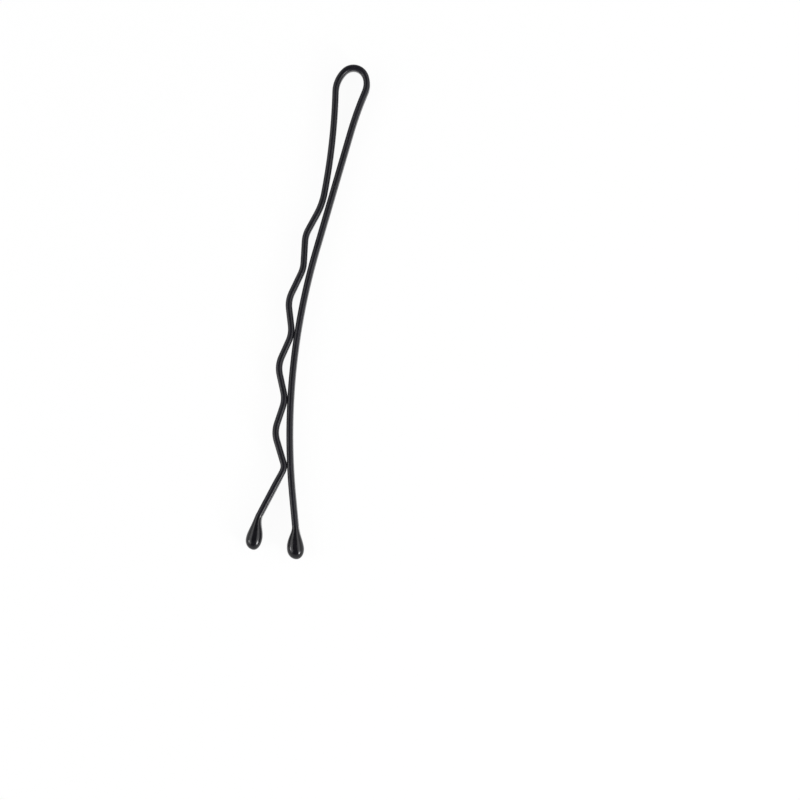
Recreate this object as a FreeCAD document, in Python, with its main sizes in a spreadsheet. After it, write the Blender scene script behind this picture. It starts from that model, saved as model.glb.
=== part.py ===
import FreeCAD, Part
import math
import os

import Sketcher

# Hair pin bent from one flat spring wire, with a dipped resin bead on each end of the wire.
# Millimetres and degrees. The origin is the centre of the crown's round top at the middle of the
# wire's width. +Y runs from the tips to the crown, the wavy leg is on the -X side, and +Z is
# square to the plane of the bends, so the pin lies flat on its beads and its crown.
SIZES = {
    # The wire's section: two flats with half-round edges. The flats face along the bends.
    "wire_thickness": 0.62,
    "wire_width": 1.4,
    # Bend radii are those of the wire's centre line. The crown is an arch: its round top starts at
    # an angle from +X, turns on, and runs into an easier shoulder at each end.
    "crown_radius": 1.31,
    "crown_start_angle": 29.5,
    "crown_turn_angle": 114.0,
    "straight_shoulder_radius": 2.22,
    "wavy_shoulder_radius": 3.0,
    # The straight leg: a slight reverse bend below the crown, a straight run, and one long bow.
    "neck_radius": 37.0,
    "neck_inset": 0.28,
    "run_angle": 6.62,
    "straight_run": 12.55,
    "bow_radius": 67.3,
    "bow_tail": 3.15,
    "tail_run": 3.8,
    # The wavy leg: a long upper bend, then waves laid along the straight leg's bow.
    "upper_radius": 64.6,
    "first_bend_radius": 7.2,
    "first_crest_rise": 4.62,
    "wave_pitch": 6.7,
    "wave_depth": 0.77,
    "crimp_radius": 2.9,
    "contact_gap": 0.05,
    "wedge_opening": 0.31,
    "lead_bend_radius": 1.2,
    "lead_angle": 18.25,
    "lead_run": 5.4,
    # The beads. Edge cover is the resin over the wire's edges at the belly, the widest place, and
    # the nose share is the end's radius as a share of the belly's.
    # A bead's axis leans from its wire, towards +X if positive, as the resin hung when it set.
    "socket_depth": 0.7,
    "bond_clearance": 0.02,
    "bead_film": 0.11,
    "cut_overrun": 0.5,
    "straight_bead_edge_cover": 0.18,
    "straight_bead_shoulder": 1.64,
    "straight_bead_dome": 1.11,
    "straight_bead_nose_share": 0.74,
    "straight_bead_lean_angle": -4.0,
    "wavy_bead_edge_cover": 0.14,
    "wavy_bead_shoulder": 2.15,
    "wavy_bead_dome": 1.1,
    "wavy_bead_nose_share": 0.86,
    "wavy_bead_lean_angle": 14.5,
}
WAVE_COUNT = 4
CLOSING_WAVE_COUNT = 2
OVAL_STATION_SHARES = (0.0, 1 / 3, 2 / 3)

# Expressions, in degrees: the bow's turn at a distance along it, and the last run's heading.
TURN_TEXT = "(%s) / sizes.bow_radius * 180 / pi"
BOW_TEXT = "%d * sizes.wave_pitch - sizes.first_crest_rise + sizes.bow_tail" % WAVE_COUNT
TAIL_TEXT = TURN_TEXT % BOW_TEXT + " - sizes.run_angle"

UP = FreeCAD.Vector(0, 0, 1)
CENTRE = FreeCAD.Vector(0, 0, 0)
# A sketch's own numbers for a curve's points, and for its two axes, the first of which starts at
# the sketch's origin.
START_INDEX, END_INDEX, MIDDLE_INDEX = 1, 2, 3
ORIGIN_INDEX, UPRIGHT_INDEX = -1, -2

doc = FreeCAD.newDocument("hair_pin")


def make_sheet():
    """Puts every driving size in the sheet, its name in column A and its value in column B."""
    sheet = doc.addObject("Spreadsheet::Sheet", "sizes")
    for row, (name, number) in enumerate(SIZES.items(), start=1):
        sheet.set("A%d" % row, name)
        sheet.set("B%d" % row, str(number))
        sheet.setAlias("B%d" % row, name)
    doc.recompute()
    return sheet


sheet = make_sheet()


def size(name):
    """One driving size, as the sheet holds it."""
    return float(sheet.get(name))


def heading(degrees):
    """Unit vector that points from crown to tip, turned from -Y; positive turns towards +X."""
    angle = math.radians(degrees)
    return FreeCAD.Vector(math.sin(angle), -math.cos(angle), 0)


def spoke(degrees):
    """Unit vector at an angle from +X."""
    return heading(degrees + 90)


def left_of(direction):
    return UP.cross(direction)


class Bend:
    """An arc of the wire: its centre, its radius and its side, 1 where the wire turns left."""

    def __init__(self, centre, radius, side):
        self.centre = centre
        self.radius = radius
        self.side = side

    def touch(self, direction):
        """The point of the arc where the wire runs in this direction."""
        return self.centre - left_of(direction) * (self.side * self.radius)

    def towards(self, point):
        """The point of the arc that lies towards another bend's centre."""
        reach = point - self.centre
        return self.centre + reach * (self.radius / reach.Length)


def tangent_direction(first, second):
    """Direction of the straight run that leaves one bend and meets the next."""
    span = second.centre - first.centre
    offset = second.side * second.radius - first.side * first.radius
    turn = math.atan2(offset, math.sqrt(max(span.Length**2 - offset**2, 0)))
    angle = math.atan2(span.y, span.x) - turn
    return FreeCAD.Vector(math.cos(angle), math.sin(angle), 0)


def bow_turn(distance):
    """Degrees that the bow has turned at a distance along it from its upper end."""
    return math.degrees(distance / size("bow_radius"))


def crest_radius_name(half_step):
    """The first bend is gentle and the last one, into the lead-out, is crisp."""
    ends = {0: "first_bend_radius", 2 * WAVE_COUNT: "lead_bend_radius"}
    return ends.get(half_step, "crimp_radius")


def wedge_share(half_step):
    """Share of the wedge opening that a crest stands off by: whole at the first, then closing."""
    return max(0.0, 1 - half_step / (2 * CLOSING_WAVE_COUNT))


class Wire:
    """The wire's whole centre line, worked out from the driving sizes.

    straight and wavy are the two legs, each a list of (bend or None, upper point, lower point)
    from the crown to the tip, in which None stands for a straight run. crown is the arch over
    them, a list of (bend, first point, last point) from the straight leg to the wavy one.
    """

    def __init__(self):
        top = Bend(CENTRE, size("crown_radius"), 1)
        first = spoke(size("crown_start_angle"))
        last = spoke(size("crown_start_angle") + size("crown_turn_angle"))
        self.straight_shoulder = self.shoulder(first, size("straight_shoulder_radius"))
        self.wavy_shoulder = self.shoulder(last, size("wavy_shoulder_radius"))
        self.lay_straight_leg()
        self.lay_wavy_leg()
        self.crown = [
            (self.straight_shoulder, self.straight[0][1], first * top.radius),
            (top, first * top.radius, last * top.radius),
            (self.wavy_shoulder, last * top.radius, self.wavy[0][1]),
        ]

    def shoulder(self, direction, radius):
        """The bend that touches the crown's round top in this direction from its centre."""
        return Bend(direction * (size("crown_radius") - radius), radius, 1)

    def lay_straight_leg(self):
        along = heading(-size("run_angle"))
        across = left_of(along)
        shoulder = self.straight_shoulder
        span = size("neck_radius") + shoulder.radius
        neck_reach = span - size("neck_inset")
        neck_drop = math.sqrt(span**2 - neck_reach**2)
        neck_centre = shoulder.centre + across * neck_reach + along * neck_drop
        neck = Bend(neck_centre, size("neck_radius"), 1)
        crown_point = shoulder.towards(neck.centre)
        run_top = neck.touch(along)
        run_foot = run_top + along * size("straight_run")
        self.bow = Bend(run_foot + across * size("bow_radius"), size("bow_radius"), 1)
        last_crest = WAVE_COUNT * size("wave_pitch") - size("first_crest_rise")
        self.tail_heading = bow_turn(last_crest + size("bow_tail")) - size("run_angle")
        tail = heading(self.tail_heading)
        bow_end = self.bow.touch(tail)
        self.straight_neck = bow_end + tail * size("tail_run")
        wire_end = self.straight_neck + tail * size("socket_depth")
        self.straight = [
            (neck, crown_point, run_top),
            (None, run_top, run_foot),
            (self.bow, run_foot, bow_end),
            (None, bow_end, wire_end),
        ]

    def wave_bend(self, half_step):
        """A crest at an even half step along the bow, or a trough at an odd one."""
        distance = half_step * size("wave_pitch") / 2 - size("first_crest_rise")
        outward = -left_of(heading(bow_turn(distance) - size("run_angle")))
        seat = size("bow_radius") + size("wire_thickness") + size("contact_gap")
        if half_step % 2:
            radius = size("crimp_radius")
            reach = seat + size("wave_depth") - radius
            return Bend(self.bow.centre + outward * reach, radius, 1)
        radius = size(crest_radius_name(half_step))
        reach = seat + size("wedge_opening") * wedge_share(half_step) + radius
        return Bend(self.bow.centre + outward * reach, radius, -1)

    def lay_wavy_leg(self):
        bends = [self.wave_bend(half_step) for half_step in range(2 * WAVE_COUNT + 1)]
        upper = self.upper_bend(bends[0])
        joint = upper.towards(bends[0].centre)
        self.wavy = [(upper, self.wavy_shoulder.towards(upper.centre), joint)]
        for bend, following in zip(bends, bends[1:] + [None]):
            if following:
                along = tangent_direction(bend, following)
                run_end = following.touch(along)
            else:
                along = heading(-size("lead_angle"))
                self.wavy_neck = bend.touch(along) + along * size("lead_run")
                run_end = self.wavy_neck + along * size("socket_depth")
            self.wavy.append((bend, joint, bend.touch(along)))
            self.wavy.append((None, bend.touch(along), run_end))
            joint = run_end

    def upper_bend(self, first_crest):
        """The long bend that touches the shoulder outside it and holds the first crest inside it."""
        radius = size("upper_radius")
        shoulder = self.wavy_shoulder
        to_shoulder = radius + shoulder.radius
        to_crest = radius - first_crest.radius
        span = first_crest.centre - shoulder.centre
        along = (to_shoulder**2 - to_crest**2 + span.Length**2) / (2 * span.Length)
        aside = math.sqrt(to_shoulder**2 - along**2)
        unit = span / span.Length
        return Bend(shoulder.centre + unit * along - left_of(unit) * aside, radius, -1)


def attach(item, role):
    """Lays a sketch or a solid form on one of its own body's origin planes."""
    body = item.getParentGeoFeatureGroup()
    plane = next(part for part in body.Origin.OriginFeatures if part.Role == role)
    item.AttachmentSupport = [(plane, "")]
    item.MapMode = "FlatFace"


def bind(sketch, name, expression, *constraint):
    """Adds a named dimension to a sketch and ties it to the sheet."""
    index = sketch.addConstraint(Sketcher.Constraint(*constraint))
    sketch.renameConstraint(index, name)
    sketch.setExpression("Constraints." + name, expression)


def measure(sketch, name, kind, point, number):
    """Adds a named measurement from the origin to a point, which drives nothing."""
    span = (ORIGIN_INDEX, START_INDEX, point, START_INDEX)
    index = sketch.addConstraint(Sketcher.Constraint(kind, *span, number))
    sketch.setDriving(index, False)
    sketch.renameConstraint(index, name)


def arc_of(bend, upper, lower):
    """The bend's arc, which always runs counter-clockwise."""
    ends = (upper, lower) if bend.side > 0 else (lower, upper)
    angles = [math.atan2(end.y - bend.centre.y, end.x - bend.centre.x) for end in ends]
    return Part.ArcOfCircle(Part.Circle(bend.centre, UP, bend.radius), *angles)


def draw_leg(sketch, crown_end, pieces, construction):
    """Draws one leg, each arc or run tangent to the one before it; gives their numbers."""
    numbers = []
    before = crown_end
    for bend, upper, lower in pieces:
        curve = arc_of(bend, upper, lower) if bend else Part.LineSegment(upper, lower)
        number = sketch.addGeometry(curve, construction)
        backwards = bend is not None and bend.side < 0
        near, far = (END_INDEX, START_INDEX) if backwards else (START_INDEX, END_INDEX)
        sketch.addConstraint(Sketcher.Constraint("Tangent", *before, number, near))
        before = (number, far)
        numbers.append(number)
    return numbers


def mark_neck(sketch, leg, run, point, length_name):
    """Marks where the bead begins on a leg's last run and measures that place."""
    mark = sketch.addGeometry(Part.Point(point), True)
    sketch.addConstraint(Sketcher.Constraint("PointOnObject", mark, START_INDEX, run))
    reach = ("Distance", run, START_INDEX, mark, START_INDEX, size(length_name))
    bind(sketch, leg + "_neck_reach", "sizes." + length_name, *reach)
    whole = ("Distance", run, size(length_name) + size("socket_depth"))
    bind(sketch, leg + "_last_run", "sizes.%s + sizes.socket_depth" % length_name, *whole)
    measure(sketch, leg + "_neck_x", "DistanceX", mark, point.x)
    measure(sketch, leg + "_neck_y", "DistanceY", mark, point.y)


def draw_line(sketch, start, end):
    """Draws a construction line between two points, each (place, curve number, its point's number)."""
    line = sketch.addGeometry(Part.LineSegment(start[0], end[0]), True)
    sketch.addConstraint(Sketcher.Constraint("Coincident", line, START_INDEX, *start[1:]))
    sketch.addConstraint(Sketcher.Constraint("Coincident", line, END_INDEX, *end[1:]))
    return line


def draw_crown(sketch, construction):
    """Draws the arch, each arc tangent to the one before it; gives their numbers."""
    numbers = [sketch.addGeometry(arc_of(*piece), construction) for piece in wire.crown]
    for this, following in zip(numbers, numbers[1:]):
        joint = ("Tangent", this, END_INDEX, following, START_INDEX)
        sketch.addConstraint(Sketcher.Constraint(*joint))
    top = numbers[1]
    centred = ("Coincident", top, MIDDLE_INDEX, ORIGIN_INDEX, START_INDEX)
    sketch.addConstraint(Sketcher.Constraint(*centred))
    names = ("straight_shoulder_radius", "crown_radius", "wavy_shoulder_radius")
    for number, name in zip(numbers, names):
        bind(sketch, name, "sizes." + name, "Radius", number, size(name))
    first = (wire.crown[1][1], top, START_INDEX)
    spoke_line = draw_line(sketch, (CENTRE, ORIGIN_INDEX, START_INDEX), first)
    start = math.radians(size("crown_start_angle"))
    bind(sketch, "crown_start", "sizes.crown_start_angle", "Angle", spoke_line, start)
    turn = math.radians(size("crown_turn_angle"))
    bind(sketch, "crown_turn", "sizes.crown_turn_angle", "Angle", top, turn)
    return numbers


def dimension_straight_leg(sketch, numbers, shoulder):
    neck, run, bow, tail = numbers
    bind(sketch, "neck_radius", "sizes.neck_radius", "Radius", neck, size("neck_radius"))
    run_heading = math.radians(-90 - size("run_angle"))
    bind(sketch, "run_heading", "-90 - sizes.run_angle", "Angle", run, run_heading)
    offset = size("straight_shoulder_radius") - size("neck_inset")
    offset_text = "sizes.straight_shoulder_radius - sizes.neck_inset"
    bind(sketch, "run_offset", offset_text, "Distance", shoulder, MIDDLE_INDEX, run, offset)
    bind(sketch, "straight_run", "sizes.straight_run", "Distance", run, size("straight_run"))
    bind(sketch, "bow_radius", "sizes.bow_radius", "Radius", bow, size("bow_radius"))
    tail_heading = math.radians(wire.tail_heading - 90)
    bind(sketch, "tail_heading", TAIL_TEXT + " - 90", "Angle", tail, tail_heading)
    mark_neck(sketch, "straight", tail, wire.straight_neck, "tail_run")


def dimension_wavy_leg(sketch, numbers, bow):
    upper = numbers[0]
    bind(sketch, "upper_radius", "sizes.upper_radius", "Radius", upper, size("upper_radius"))
    seat = "sizes.bow_radius + sizes.wire_thickness + sizes.contact_gap"
    for half_step, number in enumerate(numbers[1::2]):
        bend = wire.wavy[1 + 2 * half_step][0]
        if half_step % 2:
            radius_name = "crimp_radius"
            reach = seat + " + sizes.wave_depth - sizes.crimp_radius"
        else:
            radius_name = crest_radius_name(half_step)
            opening = "sizes.wedge_opening * %r" % wedge_share(half_step)
            reach = "%s + %s + sizes.%s" % (seat, opening, radius_name)
        bind(sketch, "wave_radius_%d" % half_step, "sizes." + radius_name, "Radius", number, bend.radius)
        own_centre = (bend.centre, number, MIDDLE_INDEX)
        to_bow = draw_line(sketch, own_centre, (wire.bow.centre, bow, MIDDLE_INDEX))
        span = wire.bow.centre - bend.centre
        bind(sketch, "wave_reach_%d" % half_step, reach, "Distance", to_bow, span.Length)
        turned = TURN_TEXT % "%d * sizes.wave_pitch / 2 - sizes.first_crest_rise" % half_step
        angle = math.atan2(span.y, span.x)
        bind(sketch, "wave_turn_%d" % half_step, turned + " - sizes.run_angle", "Angle", to_bow, angle)
    lead = numbers[-1]
    lead_heading = math.radians(-90 - size("lead_angle"))
    bind(sketch, "lead_heading", "-90 - sizes.lead_angle", "Angle", lead, lead_heading)
    mark_neck(sketch, "wavy", lead, wire.wavy_neck, "lead_run")


def draw_wire(body, stretch):
    """Sketches the whole centre line; all but the stretch that is asked for is construction."""
    sketch = body.newObject("Sketcher::SketchObject", stretch + "_line")
    attach(sketch, "XY_Plane")
    crown = draw_crown(sketch, stretch != "crown_bend")
    straight = draw_leg(sketch, (crown[0], START_INDEX), wire.straight, stretch != "straight_leg")
    wavy = draw_leg(sketch, (crown[-1], END_INDEX), wire.wavy, stretch != "wavy_leg")
    dimension_straight_leg(sketch, straight, crown[0])
    dimension_wavy_leg(sketch, wavy, straight[2])
    return sketch


def line_between(first_x, first_y, second_x, second_y):
    return Part.LineSegment(FreeCAD.Vector(first_x, first_y, 0), FreeCAD.Vector(second_x, second_y, 0))


def half_round(height, radius, start):
    """A half circle about a point on the sketch's Y axis."""
    circle = Part.Circle(FreeCAD.Vector(0, height, 0), UP, radius)
    return Part.ArcOfCircle(circle, start, start + math.pi)


def draw_slot(sketch, clearance):
    """Draws the wire's section round the sketch's origin, its width along the sketch's Y.

    clearance is the name of the size by which it is larger all round, or None.
    """
    grown = " + sizes." + clearance if clearance else ""
    radius = size("wire_thickness") / 2 + (size(clearance) if clearance else 0)
    centre = (size("wire_width") - size("wire_thickness")) / 2
    right = sketch.addGeometry(line_between(radius, -centre, radius, centre), False)
    top = sketch.addGeometry(half_round(centre, radius, 0), False)
    left = sketch.addGeometry(line_between(-radius, centre, -radius, -centre), False)
    bottom = sketch.addGeometry(half_round(-centre, radius, math.pi), False)
    loop = (right, top, left, bottom)
    for this, following in zip(loop, loop[1:] + loop[:1]):
        sketch.addConstraint(Sketcher.Constraint("Tangent", this, END_INDEX, following, START_INDEX))
    sketch.addConstraint(Sketcher.Constraint("Equal", top, bottom))
    sketch.addConstraint(Sketcher.Constraint("Vertical", right))
    edges = (top, MIDDLE_INDEX, bottom, MIDDLE_INDEX)
    sketch.addConstraint(Sketcher.Constraint("Symmetric", *edges, ORIGIN_INDEX, START_INDEX))
    bind(sketch, "edge_radius", "sizes.wire_thickness / 2" + grown, "Radius", top, radius)
    flat_text = "sizes.wire_width - sizes.wire_thickness"
    bind(sketch, "flat_width", flat_text, "Distance", *edges, 2 * centre)


def make_wire_stretch(name, section_end):
    """One stretch of the wire: its section carried along its centre line.

    section_end is 0 or 1, the end of the line's first edge where the section is drawn.
    """
    body = doc.addObject("PartDesign::Body", name)
    line = draw_wire(body, name)
    doc.recompute()
    section = body.newObject("Sketcher::SketchObject", name + "_section")
    section.AttachmentSupport = [(line, "Edge1")]
    section.MapMode = "NormalToEdge"
    section.MapPathParameter = section_end
    draw_slot(section, None)
    doc.recompute()
    sweep = body.newObject("PartDesign::AdditivePipe", name + "_sweep")
    sweep.Profile = section
    sweep.Spine = (line, ["Edge%d" % (edge + 1) for edge in range(len(line.Shape.Edges))])
    sweep.Mode = "Binormal"
    sweep.Binormal = UP
    return body


def draw_oval(body, name, distance, half_thickness, half_width):
    """An ellipse square to the bead's axis, at a distance from its neck; sizes are expressions."""
    sketch = body.newObject("Sketcher::SketchObject", name)
    attach(sketch, "XZ_Plane")
    sketch.setExpression("AttachmentOffset.Base.z", distance)
    # The ellipse is drawn at the wire's own size, and its two dimensions then set it.
    wide = FreeCAD.Vector(0, size("wire_width") / 2, 0)
    thin = FreeCAD.Vector(size("wire_thickness") / 2, 0, 0)
    oval = sketch.addGeometry(Part.Ellipse(wide, thin, CENTRE), False)
    sketch.exposeInternalGeometry(oval)
    major, minor = oval + 1, oval + 2
    centred = ("Coincident", oval, MIDDLE_INDEX, ORIGIN_INDEX, START_INDEX)
    sketch.addConstraint(Sketcher.Constraint(*centred))
    sketch.addConstraint(Sketcher.Constraint("Vertical", major))
    bind(sketch, "oval_width", "2 * (%s)" % half_width, "Distance", major, 2 * wide.Length)
    bind(sketch, "oval_thickness", "2 * (%s)" % half_thickness, "Distance", minor, 2 * thin.Length)
    return sketch


def draw_belly(body, name, distance, radius):
    """A circle square to the bead's axis, at a distance from its neck; sizes are expressions."""
    sketch = body.newObject("Sketcher::SketchObject", name)
    attach(sketch, "XZ_Plane")
    # A quarter turn starts the circle where the ovals start, so the skin between them isn't twisted.
    quarter_turn = "rotation(vector(0; 0; 1); 90)"
    place = "placement(vector(0; 0; %s); %s)" % (distance, quarter_turn)
    sketch.setExpression("AttachmentOffset", place)
    # The circle is drawn as wide as the wire, and its dimension then sets it.
    drawn = size("wire_width") / 2
    circle = sketch.addGeometry(Part.Circle(CENTRE, UP, drawn), False)
    centred = ("Coincident", circle, MIDDLE_INDEX, ORIGIN_INDEX, START_INDEX)
    sketch.addConstraint(Sketcher.Constraint(*centred))
    bind(sketch, "belly_radius", radius, "Radius", circle, drawn)
    return sketch


def draw_dome(body, name, bead, radius_text):
    """Half the dome's outline on the bead's axis: an easy side that runs into a rounder nose.

    bead is how the names of the bead's sizes begin, and the belly's radius is an expression.
    """
    sketch = body.newObject("Sketcher::SketchObject", name)
    attach(sketch, "XY_Plane")
    belly_y = -size(bead + "shoulder")
    radius = size("wire_width") / 2 + size(bead + "edge_cover")
    nose_radius = size(bead + "nose_share") * radius
    nose_drop = size(bead + "dome") - nose_radius
    # The side's centre lies beyond the axis, as far as makes the side touch the nose.
    excess = radius - nose_radius
    beyond = (nose_drop**2 - excess**2) / (2 * excess)
    meeting = math.atan2(-nose_drop, beyond)
    side_circle = Part.Circle(FreeCAD.Vector(-beyond, belly_y, 0), UP, radius + beyond)
    nose_circle = Part.Circle(FreeCAD.Vector(0, belly_y - nose_drop, 0), UP, nose_radius)
    lid = sketch.addGeometry(line_between(0, belly_y, radius, belly_y), False)
    side = sketch.addGeometry(Part.ArcOfCircle(side_circle, meeting, 0), False)
    nose = sketch.addGeometry(Part.ArcOfCircle(nose_circle, -math.pi / 2, meeting), False)
    foot_y = belly_y - size(bead + "dome")
    axis = sketch.addGeometry(line_between(0, foot_y, 0, belly_y), False)
    for relation in (
        ("PointOnObject", lid, START_INDEX, UPRIGHT_INDEX),
        ("Horizontal", lid),
        ("Vertical", axis),
        ("Coincident", axis, END_INDEX, lid, START_INDEX),
        ("Coincident", axis, START_INDEX, nose, START_INDEX),
        ("Coincident", lid, END_INDEX, side, END_INDEX),
        ("Tangent", side, START_INDEX, nose, END_INDEX),
        ("PointOnObject", side, MIDDLE_INDEX, lid),
        ("PointOnObject", nose, MIDDLE_INDEX, UPRIGHT_INDEX),
    ):
        sketch.addConstraint(Sketcher.Constraint(*relation))
    drop = ("DistanceY", lid, START_INDEX, ORIGIN_INDEX, START_INDEX, -belly_y)
    bind(sketch, "belly_drop", "sizes.%sshoulder" % bead, *drop)
    bind(sketch, "belly_radius", radius_text, "Distance", lid, radius)
    bind(sketch, "dome_length", "sizes.%sdome" % bead, "Distance", axis, belly_y - foot_y)
    nose_text = "sizes.%snose_share * (%s)" % (bead, radius_text)
    bind(sketch, "nose_radius", nose_text, "Radius", nose, nose_radius)
    return sketch


def make_bead(leg, heading_text):
    """A dipped bead: a shoulder grows from a film round the wire to a round belly, then a dome.

    Its axis is the body's -Y, and the wire's end seats in a blind socket along the wire, whose
    heading is given as an expression.
    """
    name = leg + "_leg_tip"
    body = doc.addObject("PartDesign::Body", name)
    bead = leg + "_bead_"
    lean_text = "sizes.%slean_angle" % bead
    shoulder_text = "sizes.%sshoulder" % bead
    radius = "sizes.wire_width / 2 + sizes.%sedge_cover" % bead
    # At the neck the oval passes a film's thickness outside the corners of the wire's section.
    neck_width = "sizes.wire_width / 2 + sizes.bond_clearance + sizes.bead_film"
    flat = "(sizes.wire_width - sizes.wire_thickness) / 2"
    bulge = "sqrt(1 - pow((%s) / (%s); 2))" % (flat, neck_width)
    neck_thickness = "(sizes.wire_thickness / 2 + sizes.bond_clearance) / %s + sizes.bead_film" % bulge
    sections = []
    for station, share in enumerate(OVAL_STATION_SHARES):
        grown = repr(math.sin(share * math.pi / 2))
        sections.append(draw_oval(
            body,
            "%s_oval_%d" % (name, station),
            "%s * %r" % (shoulder_text, share),
            "(%s) + (%s - (%s)) * %s" % (neck_thickness, radius, neck_thickness, grown),
            "(%s) + (%s - (%s)) * %s" % (neck_width, radius, neck_width, grown),
        ))
    sections.append(draw_belly(body, name + "_belly", shoulder_text, radius))
    doc.recompute()
    shoulder = body.newObject("PartDesign::AdditiveLoft", name + "_shoulder")
    shoulder.Profile = sections[0]
    shoulder.Sections = sections[1:]
    doc.recompute()
    outline = draw_dome(body, name + "_outline", bead, radius)
    doc.recompute()
    dome = body.newObject("PartDesign::Revolution", name + "_dome")
    dome.Profile = outline
    dome.ReferenceAxis = (outline, ["V_Axis"])
    doc.recompute()
    mouth = body.newObject("Sketcher::SketchObject", name + "_mouth")
    attach(mouth, "XZ_Plane")
    wire_lean = "rotation(vector(0; 1; 0); -(%s))" % lean_text
    back_off = "vector(%s; 0; %s)" % (
        "sizes.cut_overrun * sin(%s * 1 deg)" % lean_text,
        "-sizes.cut_overrun * cos(%s * 1 deg)" % lean_text,
    )
    mouth.setExpression("AttachmentOffset", "placement(%s; %s)" % (back_off, wire_lean))
    draw_slot(mouth, "bond_clearance")
    doc.recompute()
    socket = body.newObject("PartDesign::Pocket", name + "_socket")
    socket.Profile = mouth
    socket.Reversed = True
    socket.setExpression("Length", "sizes.cut_overrun + sizes.socket_depth")
    of_neck = "%s_leg_line.Constraints.%s_neck" % (leg, leg)
    place = "vector(%s_x; %s_y; 0)" % (of_neck, of_neck)
    turn = "rotation(vector(0; 0; 1); %s + %s)" % (heading_text, lean_text)
    body.setExpression("Placement", "placement(%s; %s)" % (place, turn))
    return body


def check(bodies):
    """Stops the build if any object failed or any piece isn't one sound solid."""
    for item in doc.Objects:
        if {"Invalid", "Error"} & set(item.State):
            raise RuntimeError("%s failed: %s" % (item.Label, item.State))
    for body in bodies:
        shape = body.Shape
        if shape.isNull() or not shape.isValid() or len(shape.Solids) != 1:
            raise RuntimeError("%s is not one valid solid" % body.Label)


wire = Wire()
pieces = [
    make_wire_stretch("straight_leg", 0),
    make_wire_stretch("crown_bend", 0),
    make_wire_stretch("wavy_leg", 1),
    make_bead("straight", TAIL_TEXT),
    make_bead("wavy", "-sizes.lead_angle"),
]
doc.recompute()
check(pieces)
os.makedirs("parts", exist_ok=True)
for piece in pieces:
    piece.Shape.exportStep("parts/%s.step" % piece.Label)
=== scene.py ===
import bpy
import numpy as np
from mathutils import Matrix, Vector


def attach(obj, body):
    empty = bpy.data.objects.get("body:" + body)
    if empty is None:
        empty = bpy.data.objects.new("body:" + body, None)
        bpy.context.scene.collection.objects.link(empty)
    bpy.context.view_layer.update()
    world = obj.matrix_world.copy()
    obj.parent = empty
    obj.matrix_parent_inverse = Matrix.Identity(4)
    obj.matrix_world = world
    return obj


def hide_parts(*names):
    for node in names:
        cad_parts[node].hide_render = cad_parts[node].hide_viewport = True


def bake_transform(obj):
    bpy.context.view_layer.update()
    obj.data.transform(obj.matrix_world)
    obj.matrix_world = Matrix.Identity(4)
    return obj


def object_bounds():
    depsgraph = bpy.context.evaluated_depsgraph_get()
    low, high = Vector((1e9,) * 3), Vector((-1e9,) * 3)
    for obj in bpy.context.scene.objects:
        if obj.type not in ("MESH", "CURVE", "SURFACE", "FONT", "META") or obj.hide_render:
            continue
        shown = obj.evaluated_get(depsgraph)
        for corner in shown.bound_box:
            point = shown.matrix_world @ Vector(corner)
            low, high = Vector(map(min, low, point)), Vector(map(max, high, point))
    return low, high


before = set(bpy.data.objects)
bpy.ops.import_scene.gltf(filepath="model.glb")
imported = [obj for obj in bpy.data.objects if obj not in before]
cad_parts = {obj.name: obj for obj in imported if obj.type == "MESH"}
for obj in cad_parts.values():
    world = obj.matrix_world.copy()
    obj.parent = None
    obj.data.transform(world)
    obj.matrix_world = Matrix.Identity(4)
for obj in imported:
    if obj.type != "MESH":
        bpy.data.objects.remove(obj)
cad_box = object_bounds()

# The pin's own sizes in millimetres and degrees, as its solids have them. The origin is the centre
# of the crown's round top, +Y runs from the tips to the crown, and the crimped leg is on -X.
MM = 0.001
WIRE_THICKNESS = 0.62
WIRE_WIDTH = 1.4
CROWN_RADIUS = 1.31
CROWN_START_ANGLE = 29.5
CROWN_TURN_ANGLE = 114.0
PLAIN_SHOULDER_RADIUS = 2.22
CRIMPED_SHOULDER_RADIUS = 3.0
NECK_RADIUS = 37.0
NECK_INSET = 0.28
RUN_ANGLE = 6.62
STRAIGHT_RUN = 12.55
BOW_RADIUS = 67.3
BOW_TAIL = 3.15
TAIL_RUN = 3.8
UPPER_RADIUS = 64.6
FIRST_BEND_RADIUS = 7.2
FIRST_CREST_RISE = 4.62
WAVE_PITCH = 6.7
WAVE_DEPTH = 0.77
CRIMP_RADIUS = 2.9
CONTACT_GAP = 0.05
WEDGE_OPENING = 0.31
LEAD_BEND_RADIUS = 1.2
LEAD_ANGLE = 18.25
LEAD_RUN = 5.4
WAVE_COUNT = 4
CLOSING_WAVE_COUNT = 2

# How finely the wire is drawn, and the length over which one bend eases into the next.
WALK_STEP = 0.005
EASING = 0.1
LEG_ROW_SPACING = 0.08
CROWN_ROW_SPACING = 0.04
SECTION_POINTS = 64
BEAD_ROWS = 120
# The crimped leg's last run is twisted a little, so that its inner flat shows from above, and the
# plain leg is rolled as little the other way, so that its outer flat shows.
LEAD_TWIST = 4.0
TWIST_LENGTH = 1.6
PLAIN_ROLL = 2.5
# The coat of enamel on the wire's flats. The crown's top is lowered by a little more than the coat,
# so that the coat stays inside the solids' box.
ENAMEL_COAT = 0.015
CROWN_LOWERING = 0.019
# The film of resin where a bead feathers out on the wire, and how far inside its bead the crimped
# wire stops short of the solid's end, because there the bead sags away from the run.
FEATHER = 0.008
CRIMPED_WIRE_STOP = 0.2

# The photograph's frame: its middle on the pin, the pin's tilt in it, and the half frame's width.
VIEW_CENTRE = (10.168, -31.401)
VIEW_TILT = 9.65
VIEW_HALF_WIDTH = 40.94
VIEW_DISTANCE = 229.0
SENSOR_WIDTH = 36.0
# The floor's own white, the share of it that glows as plain white, and the sides of its round sweep.
FLOOR_WHITE = 0.94
FLOOR_GLOW_SHARE = 0.95
FLOOR_SIDES = 96
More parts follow.
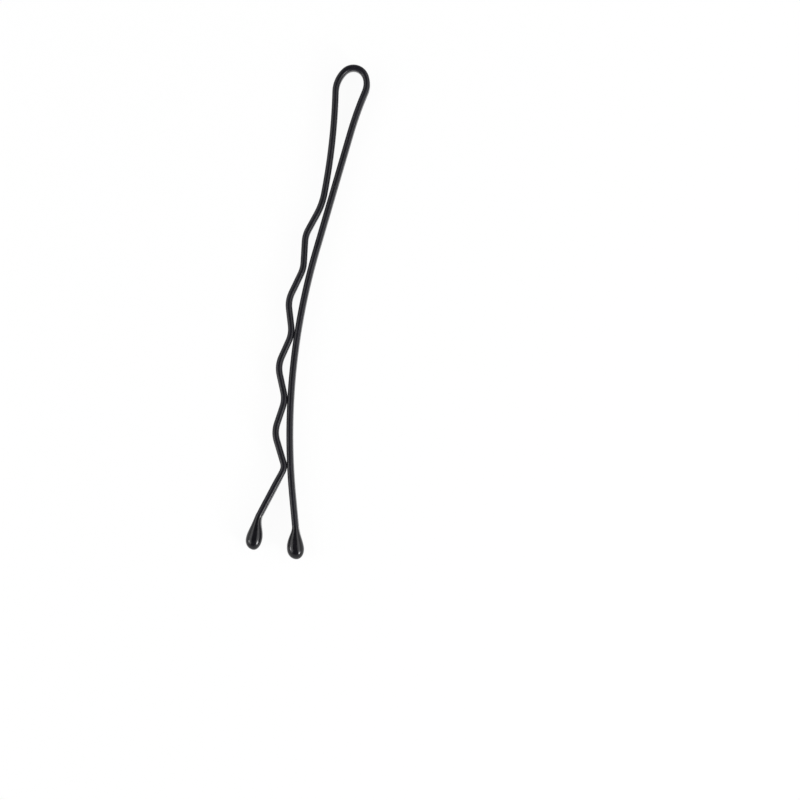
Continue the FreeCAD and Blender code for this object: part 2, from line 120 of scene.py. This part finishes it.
# The middle of the pin's length, which the lamps aim at.
LAMP_TARGET = (0.0, -25.0, 0.0)


def heading(degrees):
    """Unit complex number that points from crown to tip, turned from -Y towards +X."""
    return -1j * np.exp(1j * np.radians(degrees))


def arc(centre, first, last, side):
    """(length, curvature) of the arc between two points about a centre, turning left if side is 1.

    The sweep is the angle between the two spokes, and the length is the sweep times the radius.
    """
    sweep = np.mod(side * np.angle((last - centre) / (first - centre)), 2 * np.pi)
    radius = abs(first - centre)
    return radius * sweep, side / radius


def run(first, last):
    """(length, curvature) of the straight run between two points."""
    return abs(last - first), 0.0


def towards(centre, radius, other):
    """The point of a circle that lies towards another centre."""
    return centre + (other - centre) * radius / abs(other - centre)


def shoulder_centre(angle, radius):
    """Centre of the arc that touches the crown's round top where its spoke has this angle."""
    return np.exp(1j * np.radians(angle)) * (CROWN_RADIUS - radius)


def plain_leg():
    """Stretches of the plain leg from crown to tip, its first point and its bow's centre.

    A slight reverse bend touches the crown's shoulder and the run; the bow follows the run.
    """
    shoulder = shoulder_centre(CROWN_START_ANGLE, PLAIN_SHOULDER_RADIUS)
    along = heading(-RUN_ANGLE)
    span = NECK_RADIUS + PLAIN_SHOULDER_RADIUS
    reach = span - NECK_INSET
    neck = shoulder + 1j * along * reach + along * np.sqrt(span**2 - reach**2)
    top = towards(shoulder, PLAIN_SHOULDER_RADIUS, neck)
    run_top = neck - 1j * along * NECK_RADIUS
    run_foot = run_top + along * STRAIGHT_RUN
    bow = run_foot + 1j * along * BOW_RADIUS
    tail = heading(np.degrees(bow_turn(WAVE_COUNT * WAVE_PITCH + BOW_TAIL)) - RUN_ANGLE)
    bow_end = bow - 1j * tail * BOW_RADIUS
    stretches = [
        arc(neck, top, run_top, 1),
        run(run_top, run_foot),
        arc(bow, run_foot, bow_end, 1),
        (TAIL_RUN, 0.0),
    ]
    return stretches, top, bow


def bow_turn(distance):
    """Radians that the bow has turned at a distance along it from the first crest."""
    return (distance - FIRST_CREST_RISE) / BOW_RADIUS


def wave_bends(bow):
    """(centre, radius, side) of each crest and trough, half a pitch apart along the bow.

    A crest seats on the plain leg, the first ones a little off it; a trough stands a wave's depth
    away.
    """
    bends = []
    seat = BOW_RADIUS + WIRE_THICKNESS + CONTACT_GAP
    for half_step in range(2 * WAVE_COUNT + 1):
        outward = -1j * heading(np.degrees(bow_turn(half_step * WAVE_PITCH / 2)) - RUN_ANGLE)
        if half_step % 2:
            bends.append((bow + outward * (seat + WAVE_DEPTH - CRIMP_RADIUS), CRIMP_RADIUS, 1))
            continue
        ends = {0: FIRST_BEND_RADIUS, 2 * WAVE_COUNT: LEAD_BEND_RADIUS}
        radius = ends.get(half_step, CRIMP_RADIUS)
        opening = WEDGE_OPENING * max(0.0, 1 - half_step / (2 * CLOSING_WAVE_COUNT))
        bends.append((bow + outward * (seat + opening + radius), radius, -1))
    return bends


def tangent_heading(first, second):
    """Direction of the straight run that leaves one bend and meets the next."""
    span = second[0] - first[0]
    offset = second[2] * second[1] - first[2] * first[1]
    return np.exp(1j * (np.angle(span) - np.arcsin(offset / abs(span))))


def crimped_leg(bow):
    """Stretches of the crimped leg from crown to tip, and its first point.

    A long upper bend touches the crown's shoulder outside and holds the first crest inside; then
    each crest and trough is joined to the next by the straight run that touches both.
    """
    bends = wave_bends(bow)
    shoulder = shoulder_centre(CROWN_START_ANGLE + CROWN_TURN_ANGLE, CRIMPED_SHOULDER_RADIUS)
    to_shoulder = UPPER_RADIUS + CRIMPED_SHOULDER_RADIUS
    to_crest = UPPER_RADIUS - FIRST_BEND_RADIUS
    span = bends[0][0] - shoulder
    unit = span / abs(span)
    reach = (to_shoulder**2 - to_crest**2 + abs(span) ** 2) / (2 * abs(span))
    upper = shoulder + unit * reach - 1j * unit * np.sqrt(to_shoulder**2 - reach**2)
    top = towards(shoulder, CRIMPED_SHOULDER_RADIUS, upper)
    joint = towards(upper, UPPER_RADIUS, bends[0][0])
    stretches = [arc(upper, top, joint, -1)]
    for bend, following in zip(bends, bends[1:]):
        along = tangent_heading(bend, following)
        leave = bend[0] - 1j * along * bend[1] * bend[2]
        meet = following[0] - 1j * along * following[1] * following[2]
        stretches += [arc(bend[0], joint, leave, bend[2]), run(leave, meet)]
        joint = meet
    centre, radius, side = bends[-1]
    leave = centre - 1j * heading(-LEAD_ANGLE) * radius * side
    stretches += [arc(centre, joint, leave, side), (LEAD_RUN, 0.0)]
    return stretches, top


def crown(plain_top, crimped_top):
    """Stretches of the arched crown: shoulder, round top, shoulder, from the plain leg on."""
    first = CROWN_RADIUS * np.exp(1j * np.radians(CROWN_START_ANGLE))
    last = CROWN_RADIUS * np.exp(1j * np.radians(CROWN_START_ANGLE + CROWN_TURN_ANGLE))
    plain = shoulder_centre(CROWN_START_ANGLE, PLAIN_SHOULDER_RADIUS)
    crimped = shoulder_centre(CROWN_START_ANGLE + CROWN_TURN_ANGLE, CRIMPED_SHOULDER_RADIUS)
    return [
        arc(plain, plain_top, first, 1),
        arc(0, first, last, 1),
        arc(crimped, last, crimped_top, 1),
    ]


class WireLine:
    """The wire's centre line from the plain neck over the crown to the crimped neck.

    Its direction is the turn of all its stretches up to a place, blurred by a bell, so that one
    bend eases into the next, and the sum of the direction is the place. The crown's topmost
    point, where the wire runs along -X, is held where it belongs.
    """

    def __init__(self):
        plain, plain_top, bow = plain_leg()
        crimped, crimped_top = crimped_leg(bow)
        arch = crown(plain_top, crimped_top)
        upwards = [(length, -curvature) for length, curvature in reversed(plain)]
        lengths, curvatures = np.array(upwards + arch + crimped).T
        joints = np.append(0.0, np.cumsum(lengths))
        turned = np.append(0.0, np.cumsum(lengths * curvatures))
        self.length = joints[-1]
        self.crown_start = joints[len(plain)]
        self.crown_end = joints[len(plain) + len(arch)]
        self.walk = np.linspace(0, self.length, int(self.length / WALK_STEP) + 1)
        step = self.walk[1]
        reach = int(np.ceil(4 * EASING / step))
        bell = np.exp(-0.5 * (np.arange(-reach, reach + 1) * step / EASING) ** 2)
        stations = np.arange(-reach, len(self.walk) + reach) * step
        sharp = np.interp(stations, joints, turned)
        self.direction = np.convolve(sharp, bell / bell.sum(), mode="valid")
        top = joints[len(plain) + 1] + CROWN_RADIUS * np.radians(90 - CROWN_START_ANGLE)
        self.direction += np.pi - np.interp(top, self.walk, self.direction)
        self.curvature = np.gradient(self.direction, step)
        strides = np.exp(1j * self.direction) * step
        self.places = np.append(0.0, np.cumsum((strides[1:] + strides[:-1]) / 2))
        self.places += 1j * (CROWN_RADIUS - CROWN_LOWERING) - self.at(top)[0]

    def at(self, stations):
        """(place, direction, curvature) at distances from the plain neck, as complex and angles."""
        place = np.interp(stations, self.walk, self.places.real)
        place = place + 1j * np.interp(stations, self.walk, self.places.imag)
        direction = np.interp(stations, self.walk, self.direction)
        return place, direction, np.interp(stations, self.walk, self.curvature)


def slot_outline(angle, half_thickness, half_width, flat):
    """A section's outline at an angle: two round edges, moved apart by a flat of half length flat.

    Across it is half_thickness times the cosine; in height it is the rest of half_width times the
    sine, plus or minus the flat. With no flat it is an oval.
    """
    across = half_thickness * np.cos(angle)
    height = (half_width - flat) * np.sin(angle) + flat * np.sign(np.sin(angle))
    return across, height


def close_grid(rows, columns):
    """(row, column) of the corners of a tube's faces, with a fan on its first row and on its last.

    A fan's middle has the row -1 or rows. Columns run on past the last one, round to the first.
    """
    row, column = np.meshgrid(np.arange(rows - 1), np.arange(columns), indexing="ij")
    quad_rows = np.stack([row, row, row + 1, row + 1], -1)
    quad_columns = np.stack([column, column + 1, column + 1, column], -1)
    ring = np.arange(columns)
    none = np.zeros(columns, int)
    foot_rows = np.stack([none - 1, none, none], -1)
    foot_columns = np.stack([ring, ring + 1, ring], -1)
    head_rows = np.stack([none + rows, none + rows - 1, none + rows - 1], -1)
    head_columns = np.stack([ring, ring, ring + 1], -1)
    corner_rows = np.concatenate([quad_rows.ravel(), foot_rows.ravel(), head_rows.ravel()])
    corner_columns = np.concatenate([quad_columns.ravel(), foot_columns.ravel(), head_columns.ravel()])
    sides = np.concatenate([np.full(quad_rows[..., 0].size, 4), np.full(2 * columns, 3)])
    return corner_rows, corner_columns, sides


def make_piece(name, rows, poles, along, around, fields, creased_rows):
    """Makes a closed tube from rows of points (rows, columns, 3) and its two pole points, in mm.

    Its UV map holds the distance along the piece, of each row, and the distance round it, of each
    column and of the first one again. fields are point attributes of rows by columns numbers. The
    edges round the creased rows are sharp.
    """
    count, columns = rows.shape[:2]
    corner_rows, corner_columns, sides = close_grid(count, columns)
    corners = corner_rows * columns + corner_columns % columns
    corners = np.where(corner_rows < 0, count * columns, corners)
    corners = np.where(corner_rows == count, count * columns + 1, corners)
    points = np.concatenate([rows.reshape(-1, 3), poles]) * MM
    mesh = bpy.data.meshes.new(name)
    mesh.vertices.add(len(points))
    mesh.vertices.foreach_set("co", points.astype(np.float32).ravel())
    mesh.loops.add(len(corners))
    mesh.loops.foreach_set("vertex_index", corners.astype(np.int32))
    mesh.polygons.add(len(sides))
    mesh.polygons.foreach_set("loop_start", np.append(0, np.cumsum(sides)[:-1]).astype(np.int32))
    mesh.polygons.foreach_set("use_smooth", np.ones(len(sides), bool))
    mesh.update(calc_edges=True)
    layer = mesh.uv_layers.new(name="wire_run")
    places = np.stack([along[np.clip(corner_rows, 0, count - 1)], around[corner_columns]], -1)
    layer.data.foreach_set("uv", places.astype(np.float32).ravel())
    for field, numbers in fields.items():
        attribute = mesh.attributes.new(field, "FLOAT", "POINT")
        spread = np.append(numbers.ravel(), [numbers.flat[0], numbers.flat[-1]])
        attribute.data.foreach_set("value", spread.astype(np.float32))
    ends = np.empty(2 * len(mesh.edges), np.int32)
    mesh.edges.foreach_get("vertices", ends)
    end_rows = ends.reshape(-1, 2) // columns
    sharp = np.isin(end_rows, creased_rows).all(axis=1) & (end_rows[:, 0] == end_rows[:, 1])
    crease = mesh.attributes.new("sharp_edge", "BOOLEAN", "EDGE")
    crease.data.foreach_set("value", sharp)
    mesh.validate()
    piece = bpy.data.objects.new(name, mesh)
    bpy.context.scene.collection.objects.link(piece)
    return piece


def carry(place, direction, across, height):
    """Points of sections set across a path: across to the path's left, height along +Z."""
    left = np.exp(1j * (direction + np.pi / 2))[:, None]
    flat = place[:, None] + left * across
    return np.stack([flat.real, flat.imag, height], -1)


def section_angles():
    """Angles round a section, none of them at the middle of a flat."""
    return (np.arange(SECTION_POINTS) + 0.5) * 2 * np.pi / SECTION_POINTS


def twist_section(across, height, degrees):
    """A section turned about its middle, so that its left side rises."""
    turned = (across + 1j * height) * np.exp(1j * np.radians(degrees))
    return turned.real, turned.imag


def smooth_step(way):
    """0 up to the way's start, 1 from its end on, and three squares less two cubes between."""
    way = np.clip(way, 0, 1)
    return way * way * (3 - 2 * way)


def section_turn(line, stations):
    """Degrees that the section is turned: the plain leg's roll, which fades in the crown's first
    shoulder, then none, then the twist that sets in on the crimped leg's last run."""
    past_leg = smooth_step((stations - line.crown_start) / TWIST_LENGTH)
    into_lead = smooth_step((stations - (line.length - LEAD_RUN)) / TWIST_LENGTH)
    return LEAD_TWIST * into_lead - PLAIN_ROLL * (1 - past_leg)


def bend_wire(name, line, first, last, spacing):
    """A stretch of the wire: its flat section, with round edges, carried along the centre line.

    The bend strain is the curvature times the distance from the wire's middle.
    """
    stations = np.linspace(first, last, int(np.ceil((last - first) / spacing)) + 1)
    place, direction, curvature = line.at(stations)
    angle = section_angles()
    flat = (WIRE_WIDTH - WIRE_THICKNESS) / 2
    across, height = slot_outline(angle, WIRE_THICKNESS / 2 + ENAMEL_COAT, WIRE_WIDTH / 2, flat)
    turned = twist_section(across, height, section_turn(line, stations)[:, None])
    rows = carry(place, direction, *turned)
    poles = np.stack([place[[0, -1]].real, place[[0, -1]].imag, np.zeros(2)], -1)
    steps = np.hypot(np.diff(across, append=across[0]), np.diff(height, append=height[0]))
    strain = np.abs(curvature)[:, None] * WIRE_THICKNESS / 2 * np.abs(np.cos(angle))
    girth = np.append(0.0, np.cumsum(steps))
    fields = {"bend_strain": strain}
    return make_piece(name, rows, poles, stations, girth, fields, [0, len(stations) - 1])


class Bead:
    """What a dipped bead measures along the wire's last run, from the run's upper end, in mm.

    It widens from its neck to its belly, sooner with a lower flare, and closes at its end, blunter
    with a higher bluntness. Its axis sags to the side by the sag terms times the square, cube and
    fourth power of the way from neck to end.
    """

    def __init__(self, neck, belly, end, belly_radius, flare, sag_terms, bluntness):
        self.neck = neck
        self.belly = belly
        self.end = end
        self.belly_radius = belly_radius
        self.flare = flare
        self.sag_terms = sag_terms
        self.bluntness = bluntness

    def sag(self, station):
        """How far the axis lies to the left of the wire's run at a station."""
        way = (station - self.neck) / (self.end - self.neck)
        return sum(term * way**power for power, term in enumerate(self.sag_terms, start=2))


PLAIN_BEAD = Bead(
    neck=3.12, belly=5.42, end=6.5, belly_radius=0.876, flare=0.9,
    sag_terms=(-2.01, 3.19, -1.32), bluntness=2.0,
)
CRIMPED_BEAD = Bead(
    neck=4.95, belly=7.4, end=8.53, belly_radius=0.83, flare=1.15,
    sag_terms=(3.42, -4.0, 1.41), bluntness=2.3,
)


def hang_bead(name, bead, origin, run_heading, twist):
    """A dipped bead: the wire's own section swells to a round belly and closes in a dome.

    Its half thickness grows from the wire's by the square of a sine of the way to the belly, then
    falls as a rounded oval's. Its axis follows the wire at the neck and sags to the side further on,
    and its sections stand square to the axis but for the dome, where they ease back to the run's.
    """
    way = np.linspace(0, 1, BEAD_ROWS // 2)
    fall = np.sin(np.linspace(0, np.pi / 2, BEAD_ROWS // 2 + 1))[1:-1]
    grown = np.concatenate([np.sin(way**bead.flare * np.pi / 2) ** 2, np.ones(len(fall))])
    dome = np.concatenate([np.ones(len(way)), (1 - fall**bead.bluntness) ** (1 / bead.bluntness)])
    station = np.concatenate([
        bead.neck + (bead.belly - bead.neck) * way,
        bead.belly + (bead.end - bead.belly) * fall,
    ])
    thin = WIRE_THICKNESS / 2 + ENAMEL_COAT + FEATHER
    wide = WIRE_WIDTH / 2 + FEATHER
    half_thickness = (thin + (bead.belly_radius - thin) * grown) * dome
    half_width = (wide + (bead.belly_radius - wide) * grown) * dome
    flat = (wide - thin) * (1 - grown)
    place = origin + run_heading * (station + 1j * bead.sag(station))
    upright = (1 - np.concatenate([np.zeros(len(way)), fall])) ** 0.5
    lean = np.arctan(np.gradient(bead.sag(station), station))
    direction = np.angle(run_heading) + lean * upright
    angle = section_angles()
    outline = slot_outline(angle, half_thickness[:, None], half_width[:, None], flat[:, None])
    rows = carry(place, direction, *twist_section(*outline, twist))
    tip = origin + run_heading * (bead.end + 1j * bead.sag(bead.end))
    poles = np.array([[place[0].real, place[0].imag, 0.0], [tip.real, tip.imag, 0.0]])
    girth = np.linspace(0, 2 * np.pi * bead.belly_radius, SECTION_POINTS + 1)
    return make_piece(name, rows, poles, station, girth, {}, [0])


class Finish:
    """A procedural finish: shader nodes laid out left to right, linked by socket names."""

    def __init__(self, name):
        self.material = bpy.data.materials.new(name)
        self.material.use_nodes = True
        self.tree = self.material.node_tree
        self.shader = next(node for node in self.tree.nodes if node.type == "BSDF_PRINCIPLED")
        self.column = -300

    def add(self, kind, inputs=None, **settings):
        """Adds a node; an input is a number, or the output socket that feeds it."""
        node = self.tree.nodes.new(kind)
        node.location = (self.column, 200)
        self.column -= 180
        for setting, choice in settings.items():
            setattr(node, setting, choice)
        for socket, source in (inputs or {}).items():
            self.feed(node.inputs[socket], source)
        return node

    def feed(self, socket, source):
        """Links an output socket to an input, or sets the input's own number or colour."""
        if isinstance(source, bpy.types.NodeSocket):
            self.tree.links.new(source, socket)
        else:
            socket.default_value = source

    def noise(self, place, scale, detail, roughness=0.5):
        """A noise texture's strength at a place."""
        inputs = {"Vector": place, "Scale": scale, "Detail": detail, "Roughness": roughness}
        return self.add("ShaderNodeTexNoise", inputs).outputs["Fac"]

    def math(self, operation, *terms):
        """The outcome of an operation on two or three numbers or sockets."""
        node = self.add("ShaderNodeMath", dict(enumerate(terms)), operation=operation)
        return node.outputs["Value"]

    def ramp(self, source, stops):
        """A colour ramp through stops of (place, grey or colour)."""
        node = self.add("ShaderNodeValToRGB", {"Fac": source})
        elements = node.color_ramp.elements
        while len(elements) < len(stops):
            elements.new(0.5)
        for element, (place, tone) in zip(elements, stops):
            element.position = place
            element.color = (*tone, 1.0) if isinstance(tone, tuple) else (tone, tone, tone, 1.0)
        return node.outputs["Color"]


def enamel_finish():
    """Satin black enamel baked on drawn wire: drawing lines along it, fine orange peel and mottling.

    The tint is the drawing lines times the mottling, lifted where the wire is strained by a bend;
    the roughness follows the drawing lines, and the relief is the lines plus the orange peel.
    """
    finish = Finish("satin_black_enamel")
    place = finish.add("ShaderNodeTexCoord")
    lengthwise = finish.add(
        "ShaderNodeMapping", {"Vector": place.outputs["UV"], "Scale": (0.35, 9.0, 1.0)}
    )
    drawn = finish.noise(lengthwise.outputs["Vector"], scale=1.0, detail=5.0, roughness=0.62)
    mottle = finish.noise(place.outputs["Object"], scale=900.0, detail=3.0)
    peel = finish.noise(place.outputs["Object"], scale=9000.0, detail=2.0)
    mixed = finish.math("MULTIPLY", drawn, mottle)
    strained = finish.add("ShaderNodeAttribute", attribute_name="bend_strain")
    worked = finish.math("MULTIPLY_ADD", strained.outputs["Fac"], 0.35, mixed)
    tint = finish.ramp(worked, [(0.12, (0.0036, 0.0034, 0.0056)), (0.42, (0.0100, 0.0092, 0.0140))])
    dull = finish.ramp(drawn, [(0.25, 0.27), (0.75, 0.40)])
    relief = finish.math("MULTIPLY_ADD", drawn, 0.55, peel)
    bump = finish.add("ShaderNodeBump", {"Height": relief, "Strength": 0.35, "Distance": 0.00002})
    finish.feed(finish.shader.inputs["Base Color"], tint)
    finish.feed(finish.shader.inputs["Roughness"], dull)
    finish.feed(finish.shader.inputs["Normal"], bump.outputs["Normal"])
    finish.shader.inputs["IOR"].default_value = 1.32
    return finish.material


def resin_finish():
    """Gloss black dipped resin: a smooth skin with slow flow ripples and faint haze."""
    finish = Finish("gloss_black_resin")
    place = finish.add("ShaderNodeTexCoord")
    haze = finish.noise(place.outputs["Object"], scale=2200.0, detail=3.0)
    ripple = finish.noise(place.outputs["Object"], scale=1100.0, detail=1.0)
    tint = finish.ramp(haze, [(0.3, (0.0032, 0.0031, 0.0044)), (0.75, (0.0070, 0.0066, 0.0092))])
    dull = finish.ramp(haze, [(0.3, 0.13), (0.75, 0.24)])
    bump = finish.add("ShaderNodeBump", {"Height": ripple, "Strength": 0.25, "Distance": 0.00006})
    finish.feed(finish.shader.inputs["Base Color"], tint)
    finish.feed(finish.shader.inputs["Roughness"], dull)
    finish.feed(finish.shader.inputs["Normal"], bump.outputs["Normal"])
    finish.shader.inputs["IOR"].default_value = 1.36
    return finish.material


def studio_white():
    """Matt white of the floor, which a camera and a mirror see as plain white but for shadows."""
    finish = Finish("studio_white")
    finish.shader.inputs["Base Color"].default_value = (FLOOR_WHITE, FLOOR_WHITE, FLOOR_WHITE, 1.0)
    finish.shader.inputs["Roughness"].default_value = 0.9
    finish.shader.inputs["Specular IOR Level"].default_value = 0.0
    path = finish.add("ShaderNodeLightPath")
    seen = finish.math("MAXIMUM", path.outputs["Is Camera Ray"], path.outputs["Is Glossy Ray"])
    seen = finish.math("MAXIMUM", seen, path.outputs["Is Transmission Ray"])
    share = finish.math("MULTIPLY", seen, FLOOR_GLOW_SHARE)
    glow = finish.add("ShaderNodeEmission", {"Strength": 1.0})
    mix = finish.add(
        "ShaderNodeMixShader",
        {0: share, 1: finish.shader.outputs["BSDF"], 2: glow.outputs["Emission"]},
    )
    output = next(node for node in finish.tree.nodes if node.type == "OUTPUT_MATERIAL")
    finish.feed(output.inputs["Surface"], mix.outputs["Shader"])
    return finish.material


def lay_floor(level):
    """A round sweep of white: a flat floor that curves up into a wall far out, as a turned profile."""
    radius = np.array([0.0, 60.0, 150.0, 300.0, 450.0, 560.0, 640.0, 690.0, 710.0, 715.0])
    height = np.array([0.0, 0.0, 0.0, 0.0, 5.0, 25.0, 70.0, 150.0, 280.0, 420.0])
    sides = np.arange(FLOOR_SIDES)
    turn = sides * 2 * np.pi / FLOOR_SIDES
    rings = len(radius) - 1
    rim = radius[1:, None]
    rise = np.broadcast_to(height[1:, None], (rings, FLOOR_SIDES))
    points = np.stack([rim * np.cos(turn), rim * np.sin(turn), rise], -1)
    centre = np.array([VIEW_CENTRE[0], VIEW_CENTRE[1], level])
    places = (np.concatenate([points.reshape(-1, 3), [[0.0, 0.0, 0.0]]]) + centre) * MM
    row, column = np.meshgrid(np.arange(rings - 1), sides, indexing="ij")
    inner, outer = row * FLOOR_SIDES, (row + 1) * FLOOR_SIDES
    following = (column + 1) % FLOOR_SIDES
    quads = np.stack([inner + column, outer + column, outer + following, inner + following], -1)
    hub = np.full(FLOOR_SIDES, rings * FLOOR_SIDES)
    middle = np.stack([hub, sides, (sides + 1) % FLOOR_SIDES], -1)
    mesh = bpy.data.meshes.new("studio_floor")
    mesh.from_pydata(places.tolist(), [], quads.reshape(-1, 4).tolist() + middle.tolist())
    mesh.polygons.foreach_set("use_smooth", np.ones(len(mesh.polygons), bool))
    floor = bpy.data.objects.new("studio_floor", mesh)
    bpy.context.scene.collection.objects.link(floor)
    mesh.materials.append(studio_white())


def hang_softbox(name, azimuth, elevation, distance, width, height, power):
    """A soft box aimed at the pin, in degrees, mm and watts; azimuth is from the photograph's right."""
    lamp = bpy.data.lights.new(name, "AREA")
    lamp.shape = "RECTANGLE"
    lamp.size = width * MM
    lamp.size_y = height * MM
    lamp.energy = power
    box = bpy.data.objects.new(name, lamp)
    bpy.context.scene.collection.objects.link(box)
    turn = np.radians(azimuth + VIEW_TILT)
    rise = np.radians(elevation)
    level = np.cos(rise)
    away = np.array([np.cos(turn) * level, np.sin(turn) * level, np.sin(rise)])
    box.location = tuple((np.array(LAMP_TARGET) + away * distance) * MM)
    box.rotation_euler = (np.pi / 2 - rise, 0.0, turn + np.pi / 2)


def light_studio():
    """A dim even room and soft boxes at the two sides and the near corners."""
    world = bpy.data.worlds.new("studio_room")
    bpy.context.scene.world = world
    world.use_nodes = True
    room = next(node for node in world.node_tree.nodes if node.type == "BACKGROUND")
    room.inputs["Color"].default_value = (1.0, 1.0, 1.0, 1.0)
    room.inputs["Strength"].default_value = 0.14
    long_box = {"elevation": 40.0, "distance": 300.0, "width": 420.0, "height": 170.0, "power": 0.55}
    hang_softbox("right_softbox", azimuth=5.0, **long_box)
    hang_softbox("left_softbox", azimuth=178.0, **long_box)
    near_box = {"elevation": 22.0, "distance": 280.0}
    hang_softbox("near_right_softbox", azimuth=-38.0, width=80.0, height=80.0, power=0.5, **near_box)
    hang_softbox("near_left_softbox", azimuth=-165.0, width=60.0, height=60.0, power=0.15, **near_box)


def set_camera():
    """A camera straight above the pin, turned to its tilt in the photograph."""
    data = bpy.data.cameras.new("camera")
    data.sensor_width = SENSOR_WIDTH
    data.lens = SENSOR_WIDTH * VIEW_DISTANCE / (2 * VIEW_HALF_WIDTH)
    data.clip_start = 0.01
    data.clip_end = 10.0
    camera = bpy.data.objects.new("camera", data)
    bpy.context.scene.collection.objects.link(camera)
    camera.location = (VIEW_CENTRE[0] * MM, VIEW_CENTRE[1] * MM, VIEW_DISTANCE * MM)
    camera.rotation_euler = (0.0, 0.0, np.radians(VIEW_TILT))
    bpy.context.scene.camera = camera


def dress(piece, node, finish):
    """Gives a piece its finish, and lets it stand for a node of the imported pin."""
    piece.data.materials.append(finish)
    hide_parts(node)


bpy.context.scene.view_settings.view_transform = "Standard"
enamel = enamel_finish()
resin = resin_finish()
line = WireLine()

# The wire ends inside its beads: the plain end as its solid's does, the crimped end a little sooner.
plain_wire = bend_wire("plain_leg_wire", line, 0.0, line.crown_start, LEG_ROW_SPACING)
crown_wire = bend_wire("crown_wire", line, line.crown_start, line.crown_end, CROWN_ROW_SPACING)
crimped_stop = line.length - CRIMPED_WIRE_STOP
crimped_wire = bend_wire("crimped_leg_wire", line, line.crown_end, crimped_stop, LEG_ROW_SPACING)
plain_end, plain_direction, _ = line.at(0.0)
crimped_end, crimped_direction, _ = line.at(line.length)
plain_run = -np.exp(1j * plain_direction)
crimped_run = np.exp(1j * crimped_direction)
plain_origin = plain_end - plain_run * TAIL_RUN
crimped_origin = crimped_end - crimped_run * LEAD_RUN
plain_bead = hang_bead("plain_leg_bead", PLAIN_BEAD, plain_origin, plain_run, PLAIN_ROLL)
crimped_bead = hang_bead("crimped_leg_bead", CRIMPED_BEAD, crimped_origin, crimped_run, LEAD_TWIST)

dress(plain_wire, "straight_leg", enamel)
dress(crown_wire, "crown_bend", enamel)
dress(crimped_wire, "wavy_leg", enamel)
dress(plain_bead, "straight_leg_tip", resin)
dress(crimped_bead, "wavy_leg_tip", resin)
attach(plain_wire, "straight_side")
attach(plain_bead, "straight_side")
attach(crimped_wire, "wavy_side")
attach(crimped_bead, "wavy_side")
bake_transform(crown_wire)

lay_floor(cad_box[0].z / MM)
light_studio()
set_camera()
